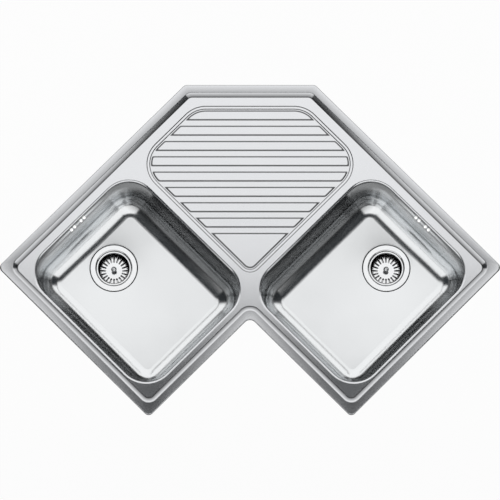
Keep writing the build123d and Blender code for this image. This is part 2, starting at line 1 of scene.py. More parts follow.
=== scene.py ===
# %% [markdown]
# # A corner kitchen sink in stainless steel
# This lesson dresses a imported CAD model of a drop-in corner sink: two wings at right
# angles, a deep drawn bowl in each, and a pressed drainer on the back corner. The CAD
# model is the fixed frame, so every piece is made in its own place, in metres.

# %% Load the frame
import json
import math
from functools import partial

import bmesh
import bpy
import numpy as np
from mathutils import Matrix, Vector


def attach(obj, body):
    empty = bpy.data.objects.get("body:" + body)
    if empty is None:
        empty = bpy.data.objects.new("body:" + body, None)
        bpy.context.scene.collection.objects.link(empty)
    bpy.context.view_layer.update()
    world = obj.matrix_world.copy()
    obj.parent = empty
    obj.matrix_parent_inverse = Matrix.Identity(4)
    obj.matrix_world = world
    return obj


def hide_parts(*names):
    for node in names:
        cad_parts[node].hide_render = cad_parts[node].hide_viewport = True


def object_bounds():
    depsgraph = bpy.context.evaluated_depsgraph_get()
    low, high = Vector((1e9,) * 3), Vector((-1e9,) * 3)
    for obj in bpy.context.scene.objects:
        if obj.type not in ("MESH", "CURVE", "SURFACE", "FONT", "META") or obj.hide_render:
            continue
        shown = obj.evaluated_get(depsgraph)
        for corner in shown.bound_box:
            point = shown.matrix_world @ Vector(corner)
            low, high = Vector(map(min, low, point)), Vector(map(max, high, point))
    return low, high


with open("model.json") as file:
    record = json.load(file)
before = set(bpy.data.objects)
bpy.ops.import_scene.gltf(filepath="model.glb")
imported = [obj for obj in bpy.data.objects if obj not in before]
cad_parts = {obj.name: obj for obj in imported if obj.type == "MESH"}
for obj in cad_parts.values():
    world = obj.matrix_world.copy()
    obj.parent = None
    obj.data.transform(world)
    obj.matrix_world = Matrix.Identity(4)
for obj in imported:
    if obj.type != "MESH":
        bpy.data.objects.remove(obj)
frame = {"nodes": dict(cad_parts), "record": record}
cad_bounds = [list(corner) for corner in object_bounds()]
scene = bpy.context.scene

# %% [markdown]
# ## The camera
# The photograph looks down on the sink from far off, with a long lens, a little from the
# room side. A lens that long keeps the two wings' edges parallel, so the camera stands
# 12 metres away and its field of view is only as wide as the sink.

# %% Camera
picture_width = 1.1685          # metres across the picture at the rim
camera_distance = 12.0
camera_elevation = math.radians(79.5)
look_at = Vector((0.0, -0.3874, 0.0))
sensor = 36.0

camera_data = bpy.data.cameras.new("camera")
camera_data.sensor_width = sensor
camera_data.lens = sensor * camera_distance / picture_width
camera_data.clip_end = 60.0
camera = bpy.data.objects.new("camera", camera_data)
toward_camera = Vector((0.0, -math.cos(camera_elevation), math.sin(camera_elevation)))
camera.location = look_at + toward_camera * camera_distance
camera.rotation_euler = (math.radians(90.0) - camera_elevation, 0.0, 0.0)
scene.collection.objects.link(camera)
scene.camera = camera
print("lens", round(camera_data.lens), "mm")

# %% [markdown]
# ## Sizes
# The pressing's sizes are the designer's own, in millimetres. One helper turns the
# wing's plan sizes, along the wall and out from it, into the frame's X and Y.

# %% Sizes of the pressing
MM = 0.001
HALF = math.sqrt(0.5)
SIDES = ((-1, "left"), (1, "right"))
wing_length, wing_depth, corner_cut = 833.0, 500.0, 217.0
back_y = 6.5                    # the back edge lies this far behind the origin
corner_y = back_y + corner_cut * HALF
sheet = 0.8
edge_z, crease_z, deck_z, field_z, weld_z = 3.9, 3.3, -2.5, -4.1, -14.5
floor_z, recess_z = -162.5, -165.5
crease_inset, foot_inset = 18.0, 28.0
bowl_u, bowl_v, drain_v = 208.25, 253.5, 168.5
bowl_half_u, bowl_half_v, bowl_radius = 171.75, 201.5, 66.0
draft = math.tan(math.radians(5.0))


def wing_point(side, u, v):
    """X and Y of a place on a wing: u from its free end along the wall, v out from the wall."""
    along = wing_length - u
    return (side * (along - v) * HALF, corner_y - (along + v) * HALF)


drain_x, drain_y = wing_point(1, bowl_u, drain_v)
print("drains at x", round(drain_x, 2), "y", round(drain_y, 2))

# %% [markdown]
# ## Outlines as loops of points
# Pressed sheet is easy to describe as a stack of closed outlines, each a little further
# in and a little lower. If every outline has the same number of points round each of its
# corners, neighbouring outlines join with plain four-sided faces, and the light runs
# smoothly over them.

# %% Loops
def corner_arc(before, corner, after, radius, steps):
    """Points of the arc that rounds one corner between two straight runs."""
    p = np.array(corner, float)
    back, ahead = np.array(before, float) - p, np.array(after, float) - p
    back, ahead = back / np.linalg.norm(back), ahead / np.linalg.norm(ahead)
    turn = math.pi - math.acos(np.clip(back @ ahead, -1, 1))
    if radius <= 0 or turn < 1e-4:
        return [p]
    middle = (back + ahead) / np.linalg.norm(back + ahead)
    centre = p + middle * radius / math.cos(turn / 2)
    ray = p + back * radius * math.tan(turn / 2) - centre
    hand = math.copysign(1.0, ahead[0] * back[1] - ahead[1] * back[0])
    angles = [hand * turn * k / steps for k in range(steps + 1)]
    return [centre + np.array([math.cos(a) * ray[0] - math.sin(a) * ray[1],
                               math.sin(a) * ray[0] + math.cos(a) * ray[1]]) for a in angles]


def rounded(corners, radii, steps):
    """Closed loop through the corners, each rounded with steps segments."""
    count = len(corners)
    return np.array([p for i in range(count) for p in corner_arc(
        corners[i - 1], corners[i], corners[(i + 1) % count], radii[i], steps)])


def bent(points, radii, steps):
    """Open section with its inner corners rounded."""
    inner = [p for i in range(1, len(points) - 1) for p in corner_arc(
        points[i - 1], points[i], points[i + 1], radii[i - 1], steps)]
    return [tuple(points[0]), *map(tuple, inner), tuple(points[-1])]


square = rounded([(0, 0), (1, 0), (1, 1), (0, 1)], [0.2] * 4, 6)
print("a rounded square has", len(square), "points")

# %% [markdown]
# A small class gathers loops, the strips between them and flat fills into one mesh. Each
# strip also writes a UV map: how far round the outline, and how far down the section.
# The polishing lines of the bowls follow that map later.

# %% Mesh from loops
class Sheet:
    """Loops given in millimetres, joined by strips and flat fills."""

    def __init__(self):
        self.bm = bmesh.new()
        self.uv = self.bm.loops.layers.uv.new("along")
        # a share of painted shade on each vertex, which darkens the steel's colour
        self.painted_shade = self.bm.verts.layers.float.new("painted_shade")

    def loop(self, points, z, painted_shade=0.0):
        """One outline at its height, with the share of painted shade that darkens it."""
        made = [self.bm.verts.new((x * MM, y * MM, z * MM)) for x, y in points]
        for vertex in made:
            vertex[self.painted_shade] = painted_shade
        return made

    def strips(self, loops):
        """Join a stack of loops that all have as many points."""
        down = 0.0
        for upper, lower in zip(loops, loops[1:]):
            step = (upper[0].co - lower[0].co).length
            around = 0.0
            for i, start in enumerate(upper):
                j = (i + 1) % len(upper)
                width = (upper[j].co - start.co).length
                face = self.bm.faces.new((start, upper[j], lower[j], lower[i]))
                places = ((around, down), (around + width, down),
                          (around + width, down + step), (around, down + step))
                for corner, place in zip(face.loops, places):
                    corner[self.uv].uv = place
                around += width
            down += step

    def fill(self, outer, holes=()):
        """Triangles between an outer loop and its holes."""
        edges = []
        for loop in (outer, *holes):
            for i, a in enumerate(loop):
                b = loop[(i + 1) % len(loop)]
                edges.append(self.bm.edges.get((a, b)) or self.bm.edges.new((a, b)))
        made = bmesh.ops.triangle_fill(self.bm, use_beauty=True, edges=edges, normal=(0, 0, 1))
        for face in (f for f in made["geom"] if isinstance(f, bmesh.types.BMFace)):
            for corner in face.loops:
                corner[self.uv].uv = corner.vert.co.xy

    def cap(self, loop):
        """One flat face inside a loop."""
        face = self.bm.faces.new(loop)
        for corner in face.loops:
            corner[self.uv].uv = corner.vert.co.xy

    def finish(self, name):
        """Weld the loops, turn every face up or inward, and make the object."""
        bmesh.ops.remove_doubles(self.bm, verts=self.bm.verts, dist=1e-6)
        bmesh.ops.recalc_face_normals(self.bm, faces=self.bm.faces)
        if sum(f.normal.z * f.calc_area() for f in self.bm.faces) < 0:
            bmesh.ops.reverse_faces(self.bm, faces=self.bm.faces)
        mesh = bpy.data.meshes.new(name)
        self.bm.to_mesh(mesh)
        self.bm.free()
        return new_object(name, mesh)


def new_object(name, mesh):
    obj = bpy.data.objects.new(name, mesh)
    scene.collection.objects.link(obj)
    return obj


def smooth(obj, angle):
    """Smooth shading with sharp edges kept."""
    obj.data.shade_smooth()
    obj.data.set_sharp_from_angle(angle=math.radians(angle))
    return obj


def thicken(obj, thickness):
    """Give a skin its wall, on the side its faces point away from."""
    wall = obj.modifiers.new("wall", "SOLIDIFY")
    wall.thickness = thickness * MM
    wall.offset = -1.0
    wall.use_even_offset = True
    return obj


def apply_modifiers(obj):
    graph = bpy.context.evaluated_depsgraph_get()
    graph.update()
    mesh = bpy.data.meshes.new_from_object(obj.evaluated_get(graph), depsgraph=graph)
    mesh.name = obj.name
    obj.modifiers.clear()
    obj.data = mesh


def dress(obj, material, body, slot, *nodes):
    """Give a finished piece its material, its body and the nodes it stands for; slot is not used."""
    flat = obj.modifiers.new("flat areas stay flat", "WEIGHTED_NORMAL")
    flat.keep_sharp = True
    flat.weight = 80
    apply_modifiers(obj)
    obj.data.materials.clear()
    obj.data.materials.append(material)
    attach(obj, body)
    if nodes:
        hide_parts(*nodes)
    print(f"{obj.name}: {len(obj.data.polygons)} faces")


print("mesh helpers are ready")

# %% [markdown]
# ## Shared effects
# Steel shows how it was made: a fine linen-like grain rolled into the sheet, long soft
# polishing lines round the drawn bowls, and a faint cloudiness. Each effect is a node
# group with named inputs, so that several finishes use it with their own values.

# %% Node helpers
FLOAT, VECTOR, GEOMETRY = "NodeSocketFloat", "NodeSocketVector", "NodeSocketGeometry"
MATERIAL = "NodeSocketMaterial"
SOCKET_OF = {float: FLOAT, int: "NodeSocketInt", bool: "NodeSocketBool"}
VECTOR_MATH = "ShaderNodeVectorMath"


def node(tree, kind, inputs=None, **settings):
    """A node with its settings and inputs; an input is a value or another node's socket."""
    made = tree.nodes.new(kind)
    for key, value in settings.items():
        setattr(made, key, value)
    for key, value in (inputs or {}).items():
        if isinstance(value, bpy.types.NodeSocket):
            tree.links.new(value, made.inputs[key])
        else:
            made.inputs[key].default_value = value
    return made


def calc(operation, *values, kind="ShaderNodeMath"):
    """A sum in the tree that the first socket among its values belongs to."""
    tree = next(v.id_data for v in values if isinstance(v, bpy.types.NodeSocket))
    return node(tree, kind, dict(enumerate(values)), operation=operation).outputs[0]


times, minus = partial(calc, "MULTIPLY"), partial(calc, "SUBTRACT")


def xyz(tree, x=0.0, y=0.0, z=0.0):
    return node(tree, "ShaderNodeCombineXYZ", {"X": x, "Y": y, "Z": z}).outputs[0]


def noise(place, size, detail, roughness):
    """Noise with cells of about the given size."""
    return node(place.id_data, "ShaderNodeTexNoise", {
        "Vector": place, "Scale": calc("DIVIDE", 1.0, size), "Detail": detail,
        "Roughness": roughness}).outputs[0]


def mixed(tree, share, first, second, **settings):
    """A colour between two others."""
    return node(tree, "ShaderNodeMix", {0: share, 6: first, 7: second}, data_type="RGBA",
                **settings).outputs[2]


def ramp(value, start, end, low=0.0, high=1.0):
    """A soft change from low to high, while the value goes from start to end."""
    return node(value.id_data, "ShaderNodeMapRange", {
        "Value": value, "From Min": start, "From Max": end, "To Min": low, "To Max": high},
        interpolation_type="SMOOTHSTEP").outputs[0]


def node_group(kind, name, inputs, output, output_kind):
    """A node group; each input is a starting value, or the kind of socket."""
    tree = bpy.data.node_groups.new(name, kind)
    for label, value in inputs.items():
        socket = tree.interface.new_socket(label, in_out="INPUT",
                                           socket_type=SOCKET_OF.get(type(value), value))
        if type(value) in SOCKET_OF:
            socket.default_value = value
    tree.interface.new_socket(output, in_out="OUTPUT", socket_type=output_kind)
    return tree, tree.nodes.new("NodeGroupInput").outputs, tree.nodes.new("NodeGroupOutput").inputs


def shader_group(name, output, **inputs):
    return node_group("ShaderNodeTree", name, {"Vector": VECTOR, **inputs}, output, FLOAT)


def use(tree, effect, **values):
    return node(tree, "ShaderNodeGroup", values, node_tree=effect).outputs[0]


# %% Effect: clouds, from -0.5 to 0.5
clouds, given, out = shader_group("clouds", "Value", Size=0.1)
clouds.links.new(minus(noise(given["Vector"], given["Size"], 3.0, 0.5), 0.5), out["Value"])

# %% Effect: rolled grain
grain, given, out = shader_group("rolled_grain", "Height", Pitch=0.0012)
grain.links.new(noise(given["Vector"], given["Pitch"], 2.0, 0.6), out["Height"])

# %% Effect: polishing lines along the first direction of the vector
lines, given, out = shader_group("polishing_lines", "Height", Pitch=0.002, Stretch=60.0)
squeezed = xyz(lines, calc("DIVIDE", 1.0, given["Stretch"]), 1.0, 1.0)
stretched = times(given["Vector"], squeezed, kind=VECTOR_MATH)
lines.links.new(noise(stretched, given["Pitch"], 3.0, 0.65), out["Height"])

# %% Effect: the floor's slight fall toward the drain, the same in both bowls
fall, given, out = shader_group("fall_to_drain", "Height", Slope=0.05)
mirrored = calc("ABSOLUTE", given["Vector"], kind=VECTOR_MATH)
offset = minus(mirrored, (drain_x * MM, -drain_y * MM, 0.0), kind=VECTOR_MATH)
plan = times(offset, (1.0, 1.0, 0.0), kind=VECTOR_MATH)
reach = node(fall, VECTOR_MATH, {0: plan}, operation="LENGTH").outputs["Value"]
fall.links.new(times(reach, given["Slope"]), out["Height"])
print("effects:", [effect.name for effect in bpy.data.node_groups])

# %% [markdown]
# ## Finishes
# Every finish is a Principled material. The satin deck scatters light broadly and hides
# fingerprints; the bowls carry the polishing lines, and their colour is painted lighter than
# the deck's, a painted brightening; screws and knobs are mirror bright. Colour and roughness
# both drift a little with the clouds, because even a new sheet isn't perfectly even.

# %% Finish
def finish(name, colour, roughness, metallic, drift, drift_size, uneven, height, depth=0.00002,
           shade=None):
    """A material: colour and roughness drift with the clouds, height(tree, place) is its relief,
    and shade(tree, place) darkens the colour where it is below 1."""
    material = bpy.data.materials.new(name)
    material.use_nodes = True
    tree = material.node_tree
    place = node(tree, "ShaderNodeTexCoord").outputs["Object"]
    haze = use(tree, clouds, Vector=place, Size=drift_size)
    tint = mixed(tree, calc("ADD", haze, 0.5), (*[c * (1 - drift) for c in colour], 1.0),
                 (*[min(c * (1 + drift), 1.0) for c in colour], 1.0))
    if shade:
        tint = mixed(tree, 1.0, tint, shade(tree, place), blend_type="MULTIPLY")
    relief = node(tree, "ShaderNodeBump", {"Height": height(tree, place), "Distance": depth})
    shader = tree.nodes["Principled BSDF"].inputs
    shader["Metallic"].default_value = metallic
    tree.links.new(tint, shader["Base Color"])
    tree.links.new(calc("MULTIPLY_ADD", haze, uneven, roughness), shader["Roughness"])
    tree.links.new(relief.outputs[0], shader["Normal"])
    return material


def rolled(pitch):
    return lambda tree, place: use(tree, grain, Vector=place, Pitch=pitch)


def brushed(pitch, stretch, depth, slope):
    def height(tree, place):
        along = node(tree, "ShaderNodeUVMap", uv_map="along").outputs[0]
        streaks = use(tree, lines, Vector=along, Pitch=pitch, Stretch=stretch)
        return calc("ADD", times(streaks, depth), use(tree, fall, Vector=place, Slope=slope))
    return height


def painted_dark(least):
    """Painted shade: darker where the mesh's painted shade value is high, down to the least share of
    the colour.
    """
    def shade(tree, place):
        painted_shade = node(tree, "ShaderNodeAttribute", attribute_name="painted_shade").outputs["Fac"]
        return node(tree, "ShaderNodeMapRange", {"Value": painted_shade, "To Min": 1.0,
                                                 "To Max": least}).outputs[0]
    return shade


def moulded(name, colour, roughness, drift):
    return finish(name, colour, roughness, 0.0, drift, 0.03, 0.1, rolled(0.001), 0.00001)


# %% Materials
# each steel's shade is painted shade from the mesh: dark lines and darker walls
deck_steel = finish("deck_steel", (0.80, 0.81, 0.83), 0.20, 1.0, 0.03, 0.09, 0.06, rolled(0.0012),
                    shade=painted_dark(0.08))
# painted light: the bowls' steel is a lighter copy of the deck's colour
bowl_steel = finish("bowl_steel", (0.87, 0.885, 0.895), 0.18, 1.0, 0.03, 0.07, 0.08,
                    brushed(0.0022, 140.0, 0.000011, 0.05), 1.0, painted_dark(0.10))
bright_steel = finish("bright_steel", (0.88, 0.89, 0.90), 0.09, 1.0, 0.02, 0.02, 0.04, rolled(0.004),
                      shade=painted_dark(0.08))
zinc = finish("zinc_plate", (0.66, 0.67, 0.68), 0.38, 1.0, 0.10, 0.008, 0.2, rolled(0.001))
foam = finish("seal_foam", (0.05, 0.05, 0.055), 0.85, 0.0, 0.2, 0.01, 0.1, rolled(0.0008), 0.0002)
rubber = finish("black_rubber", (0.03, 0.03, 0.03), 0.6, 0.0, 0.1, 0.02, 0.1, rolled(0.001))
damping = finish("damping_sheet", (0.09, 0.09, 0.095), 0.75, 0.0, 0.15, 0.02, 0.1, rolled(0.002),
                 0.0002)
white_plastic = moulded("white_moulding", (0.88, 0.88, 0.87), 0.38, 0.03)
glowing_plastic = moulded("painted_glow_moulding", (0.9, 0.9, 0.89), 0.35, 0.03)
# painted light: the snouts glow by their own emission, with no lamp behind them
glow = glowing_plastic.node_tree.nodes["Principled BSDF"].inputs
glow["Emission Color"].default_value = (1.0, 1.0, 0.98, 1.0)
glow["Emission Strength"].default_value = 0.8
grey_plastic = moulded("grey_moulding", (0.42, 0.43, 0.44), 0.45, 0.04)
print("finishes:", [m.name for m in bpy.data.materials])

# %% [markdown]
# ## The pressed deck
# The deck is one sheet of steel. Its rim stands on the worktop, falls very slightly to a
# crease, then drops in a slanted step to the sunk deck, which keeps spilled water in. The
# stack of outlines follows that section, and two rolled openings lead down to the bowls.

# %% The sink's outline
def sink_corners(inset):
    """The plan's seven corners, moved in by inset, from the room-side corner."""
    cut_along = corner_cut + inset / HALF - inset
    right = [
        wing_point(1, wing_length - wing_depth + inset, wing_depth - inset),
        wing_point(1, inset, wing_depth - inset),
        wing_point(1, inset, inset),
        wing_point(1, wing_length - cut_along, inset),
    ]
    return right + [(-x, y) for x, y in reversed(right[1:])]


def rim_loop(inset, steps=10):
    """The rim's outline; its corner radii change from the edge to the crease and the foot."""
    outer = np.interp(inset, [0, crease_inset, foot_inset], [12.0, 24.0, 14.0])
    room = np.interp(inset, [0, crease_inset, foot_inset], [16.0, 22.0, 32.0])
    return rounded(sink_corners(inset), [room] + [outer] * 6, steps)


def bowl_loop(side, inset, steps=12):
    """A bowl's outline, moved in from the collar's inner face."""
    half_u, half_v = bowl_half_u - inset, bowl_half_v - inset
    corners = [wing_point(side, bowl_u + a * half_u, bowl_v + b * half_v)
               for a, b in ((1, 1), (-1, 1), (-1, -1), (1, -1))]
    return rounded(corners, [bowl_radius - inset] * 4, steps)


rim_section = bent([(0.0, 0.0), (0.0, edge_z), (crease_inset, crease_z), (foot_inset, deck_z),
                    (foot_inset + 1.6, deck_z)], [2.0, 4.5, 3.5], 6)
collar_section = bent([(-6.0, deck_z), (0.0, deck_z), (0.0, weld_z)], [5.5], 8)
print("the rim's section has", len(rim_section), "points")

# %% [markdown]
# ## The drainer
# The drainer is a sunk field with raised pads. Both its own edge and each pad's edge are
# small slanted steps. A pad is the field's outline, moved in and cut to a strip, so its
# ends follow the slanted sides; the last pad takes the rest of the triangle.

# %% Drainer outlines
drainer_inset, drainer_back, drainer_room_u = 56.0, 55.0, 406.0
pad_inset, pad_pitch, pad_width, pad_count = 5.5, 36.6, 22.5, 8
pad_corner, press_slope = 2.5, 1.5
field_front_radius, field_side_radius = 23.0, 62.0


def back_edge_y(inset):
    return corner_y - corner_cut * HALF - inset


def drainer_loop(inset, steps=14):
    """The drainer's five-cornered outline, moved in by inset."""
    wall = drainer_inset + inset
    room_u = drainer_room_u + inset
    back_along = (corner_y - back_edge_y(drainer_back + inset)) / HALF - wall
    right = [
        wing_point(1, room_u, wing_length - room_u),
        wing_point(1, room_u, wall),
        wing_point(1, wing_length - back_along, wall),
    ]
    corners = right + [(-x, y) for x, y in reversed(right[1:])]
    return rounded(corners, [field_front_radius - inset] + [field_side_radius - inset] * 4, steps)


def pad_loop(index, inset, levels=46):
    """A pad's outline: its ends follow the field's outline, and its corners are rounded."""
    side = drainer_loop(pad_inset + inset, 48)
    side = side[side[:, 0] > -1e-6]
    side = side[np.argsort(side[:, 1], kind="stable")]
    top = back_edge_y(drainer_back + pad_inset + index * pad_pitch + inset)
    whole = index == pad_count
    bottom = side[0, 1] if whole else top - pad_width + 2 * inset
    share = (1 - np.cos(np.linspace(0, math.pi, levels))) / 2
    y = top + (bottom - top) * share
    x = np.interp(y, side[:, 1], side[:, 0])
    for sharp, distance in ((index > 0, top - y), (not whole, y - bottom)):
        if sharp:
            inside = np.clip(pad_corner - distance, 0, pad_corner)
            x = x - (pad_corner - np.sqrt(pad_corner ** 2 - inside ** 2))
    right = np.column_stack([x, y])
    return np.vstack([right, right[::-1] * (-1, 1)])


print("pads:", pad_count + 1)

# %% [markdown]
# Now the stack is put together: rim, flat deck around the drainer and the two openings,
# the field, the pads and the rolled collars. The sheet then gets its 0.8 mm wall. Each
# outline also carries painted shade: thin painted dark lines at the edge, along the crease,
# at the step's foot and on the slopes, where these bends would mirror the dark.

# %% Deck
slope_shade = 0.87
sheet_angle = 50.0              # degrees; sharper edges than this stay sharp
room_fade = [-480.0, -380.0]    # toward the room the rim's painted shade fades


def slanted(z, ledge):
    """How much painted shade a drainer outline carries: only on a step's slope."""
    nearest = min(abs(z - deck_z), abs(z - ledge), abs(z - field_z))
    return slope_shade * min(nearest / 0.1, 1.0)


deck = Sheet()
# painted shade across the rim: dark lines at the outer edge, the crease and the step's foot, lighter
# on the step
rim_shade = np.interp([inset for inset, z in rim_section],
                     [0.7, 1.5, 14.5, 16.5, 18.5, 26.6, 27.4, 28.8, 29.6],
                     [0.9, 0.06, 0.0, 0.5, 0.17, 0.17, 1.0, 1.0, 0.0])
rim = [deck.loop(rim_loop(inset), z, painted_shade) for (inset, z), painted_shade in zip(rim_section, rim_shade)]
# where the rim's painted shade is light, it fades toward the room to a third
for vertex in (v for loop in rim for v in loop if v[deck.painted_shade] < 0.25):
    vertex[deck.painted_shade] *= np.interp(vertex.co.y / MM, room_fade, [0.3, 1.0])
deck.strips(rim)
collars = []
collar_depths = [deck_z - 3.2, deck_z - 1.4]
for side in (-1, 1):
    # painted shade on each collar's rolled face, from just under the deck down
    collar = [deck.loop(bowl_loop(side, inset), z, float(np.interp(z, collar_depths, [1.0, 0.0])))
              for inset, z in collar_section]
    deck.strips(collar)
    collars.append(collar[0])
press_section = bent([(-1.5, deck_z), (0.0, deck_z), (press_slope, field_z),
                      (press_slope + 1.5, field_z)], [0.9, 0.9], 4)
ledge_z = (deck_z + field_z) / 2
step_section = bent([(-7.0, deck_z), (-6.0, deck_z), (-4.0, ledge_z), (0.6, ledge_z),
                     (2.6, field_z), (3.4, field_z)], [1.5, 1.5, 1.5, 1.5], 3)
step = [deck.loop(drainer_loop(inset), z, slanted(z, ledge_z)) for inset, z in step_section]
deck.strips(step)
deck.fill(rim[-1], [step[0], *collars])
feet = []
# painted dark lines on each pad's slopes
pad_shade = [0.0] + [slope_shade] * (len(press_section) - 2) + [0.0]
for index in range(pad_count + 1):
    pad = [deck.loop(pad_loop(index, inset), z, painted_shade) for (inset, z), painted_shade in zip(
        reversed([(press_slope - i, z) for i, z in press_section]), pad_shade)]
    deck.strips(pad)
    feet.append(pad[0])
    deck.fill(pad[-1])
deck.fill(step[-1], feet)
deck_piece = thicken(smooth(deck.finish("pressed_deck"), sheet_angle), sheet)
dress(deck_piece, deck_steel, "sink", "stainless", "deck")

# %% [markdown]
# ## The bowls
# A bowl is drawn from a flat blank in a press, so its walls lean outward a little and
# every edge is a wide curve. The same stack of outlines makes it: straight walls, the
# floor's curve, the flat floor, and the dish that takes the strainer's flange.

# %% Bowls
def ring(side, radius, steps=64):
    """A circle of points round a drain."""
    x, y = wing_point(side, bowl_u, drain_v)
    turns = np.linspace(0, 2 * math.pi, steps, endpoint=False)
    return np.column_stack([x + radius * np.cos(turns), y + radius * np.sin(turns)])


floor_inset = (weld_z - floor_z) * draft
straight = [((weld_z - z) * draft, z) for z in (weld_z, -42.0, -60.0, -95.0)]
wall_section = bent([*straight, (floor_inset, floor_z), (floor_inset + 41.8, floor_z)],
                    [0.0, 0.0, 0.0, 45.0], 18)
dish_section = bent([(60.0, floor_z), (57.3, floor_z), (55.8, recess_z), (54.0, recess_z),
                     (44.0, recess_z)], [0.8, 0.8, 0.0], 3)


def painted_wall_shade(point):
    """Painted shade on the walls: darker toward the rim, darkest beside the drainer from just above
    the floor, and none on the room side.
    """
    u = wing_length - ((corner_y - point.y) + abs(point.x)) * HALF
    v = ((corner_y - point.y) - abs(point.x)) * HALF
    back = np.interp(point.z, [-130.0, -95.0, -60.0, -42.0], [0.0, 0.3, 0.5, 1.0])
    drainer = np.interp(point.z, [-162.3, -158.0, -140.0, -125.0, -100.0],
                        [0.0, 0.9, 0.75, 0.6, 0.95])
    # skin is the share of painted shade here, by side of the bowl
    skin = np.interp(u, [330.0, 360.0], [back, drainer])
    return float(skin * np.interp(v, [390.0, 430.0], [1.0, 0.0]))


def make_bowl(side, name):
    bowl = Sheet()
    wall = [bowl.loop(bowl_loop(side, inset), z) for inset, z in wall_section]
    # painted shade on the walls
    for loop in wall:
        for vertex in loop:
            vertex[bowl.painted_shade] = painted_wall_shade(vertex.co / MM)
    bowl.strips(wall)
    dish = [bowl.loop(ring(side, radius), z) for radius, z in dish_section]
    bowl.strips(dish)
    bowl.fill(wall[-1], [dish[0]])
    return thicken(smooth(bowl.finish(name), sheet_angle), sheet)


bowls = {hand: make_bowl(side, f"{hand}_drawn_bowl") for side, hand in SIDES}
print("bowls wait for their overflow holes")

# %% [markdown]
# ## Turned pieces
# The strainer, its basket and the ball knob are turned or spun: one section, swept round
# the drain's axis. The section is a list of radii and heights, so it goes to the same
# mesh class, with a circle for every point.

# %% Turning
def turned(name, side, section, angle=35.0, steps=96, painted_shade=None):
    """Sweep a section of (radius, height) round a drain's axis. The painted shade zone, if
    given, darkens the piece between its first two values, which are radii, and below the third, a
    height."""
    def shade_at(radius, z):
        return float(painted_shade is not None and painted_shade[0] < radius < painted_shade[1] and z < painted_shade[2])

    shape = Sheet()
    rings = [shape.loop(ring(side, max(radius, 0.3), steps), z, shade_at(radius, z))
             for radius, z in section]
    shape.strips(rings)
    shape.cap(rings[0])
    shape.cap(rings[-1])
    return smooth(shape.finish(name), angle)


# %% [markdown]
# ## Geometry Nodes for what repeats
# Slots and water holes repeat round the axis. One node tree cuts them all: it draws a
# rounded slot, extrudes it into a cutter, sets a copy on each point of a circle, and takes
# the cutters from the piece. Its inputs say how many, how long, how wide and how far out.

# %% Tree: cutters in a ring
def geometry_tree(name, **inputs):
    return node_group("GeometryNodeTree", name, {"Geometry": GEOMETRY, **inputs}, "Geometry", GEOMETRY)


def geo(tree, kind, inputs=None, **settings):
    """The first output of a geometry node."""
    return node(tree, "GeometryNode" + kind, inputs, **settings).outputs[0]


def finished(geometry, given, out):
    """End a tree: real copies, then their material."""
    tree = geometry.id_data
    real = geo(tree, "RealizeInstances", {"Geometry": geometry})
    dressed = geo(tree, "SetMaterial", {"Geometry": real, "Material": given["Material"]})
    tree.links.new(dressed, out["Geometry"])


def placed(geometry, given):
    return geo(geometry.id_data, "Transform", {
        "Geometry": geometry, "Rotation": given["Turn"], "Translation": given["Centre"]})


def joined(tree, *shapes):
    join = node(tree, "GeometryNodeJoinGeometry")
    for shape in shapes:
        tree.links.new(shape, join.inputs[0])
    return join.outputs[0]


def rounded_bar(width, height, radius, steps):
    """A rectangle with round corners, as a curve."""
    tree = width.id_data
    bar = geo(tree, "CurvePrimitiveQuadrilateral", {"Width": width, "Height": height})
    return geo(tree, "FilletCurve", {"Curve": bar, "Radius": radius, "Count": steps}, mode="POLY")


def plate_of(outline, thickness):
    """A closed plate, drawn up from a flat outline."""
    tree = outline.id_data
    flat = geo(tree, "FillCurve", {"Curve": outline}, mode="NGONS")
    upper = geo(tree, "ExtrudeMesh", {"Mesh": flat, "Offset Scale": thickness, "Individual": False})
    both = joined(tree, geo(tree, "FlipFaces", {"Mesh": flat}), upper)
    return geo(tree, "MergeByDistance", {"Geometry": both, "Distance": 1e-6})


def cut(geometry, cutters):
    """Take the cutters away from the geometry."""
    tree = geometry.id_data
    return geo(tree, "MeshBoolean", {
        "Mesh 1": geometry, "Mesh 2": geo(tree, "RealizeInstances", {"Geometry": cutters})},
        operation="DIFFERENCE", solver="EXACT")


def with_tree(obj, tree, **values):
    """Run a tree on an object; its inputs are set by their sockets' identifiers."""
    maker = obj.modifiers.new(tree.name, "NODES")
    maker.node_group = tree
    sockets = {s.name: s.identifier for s in tree.interface.items_tree
               if s.item_type == "SOCKET" and s.in_out == "INPUT"}
    for label, value in values.items():
        maker[sockets[label]] = value


slot_ring, given, out = geometry_tree("slots in a ring", Count=20, Radius=0.02, Length=0.01,
                                      Width=0.002, Depth=0.01, Turn=VECTOR, Centre=VECTOR,
                                      Material=MATERIAL)
slot_outline = rounded_bar(given["Length"], given["Width"], times(given["Width"], 0.499), 6)
circle = geo(slot_ring, "MeshCircle", {"Vertices": given["Count"], "Radius": given["Radius"]})
share = calc("DIVIDE", geo(slot_ring, "InputIndex"), given["Count"])
copies = geo(slot_ring, "InstanceOnPoints", {
    "Points": circle, "Instance": plate_of(slot_outline, given["Depth"]),
    "Rotation": xyz(slot_ring, z=times(share, 2 * math.pi))})
finished(cut(given["Geometry"], placed(copies, given)), given, out)
print("tree:", slot_ring.name, "with", len(slot_ring.nodes), "nodes")

# %% [markdown]
# ## Strainer and basket
# The strainer's wide flange clamps the bowl's floor, and its well hangs below. The lift-out
# basket has twenty slots round a bright disc. Its knob is a ball on a neck: pressing it down
# closes the drain.

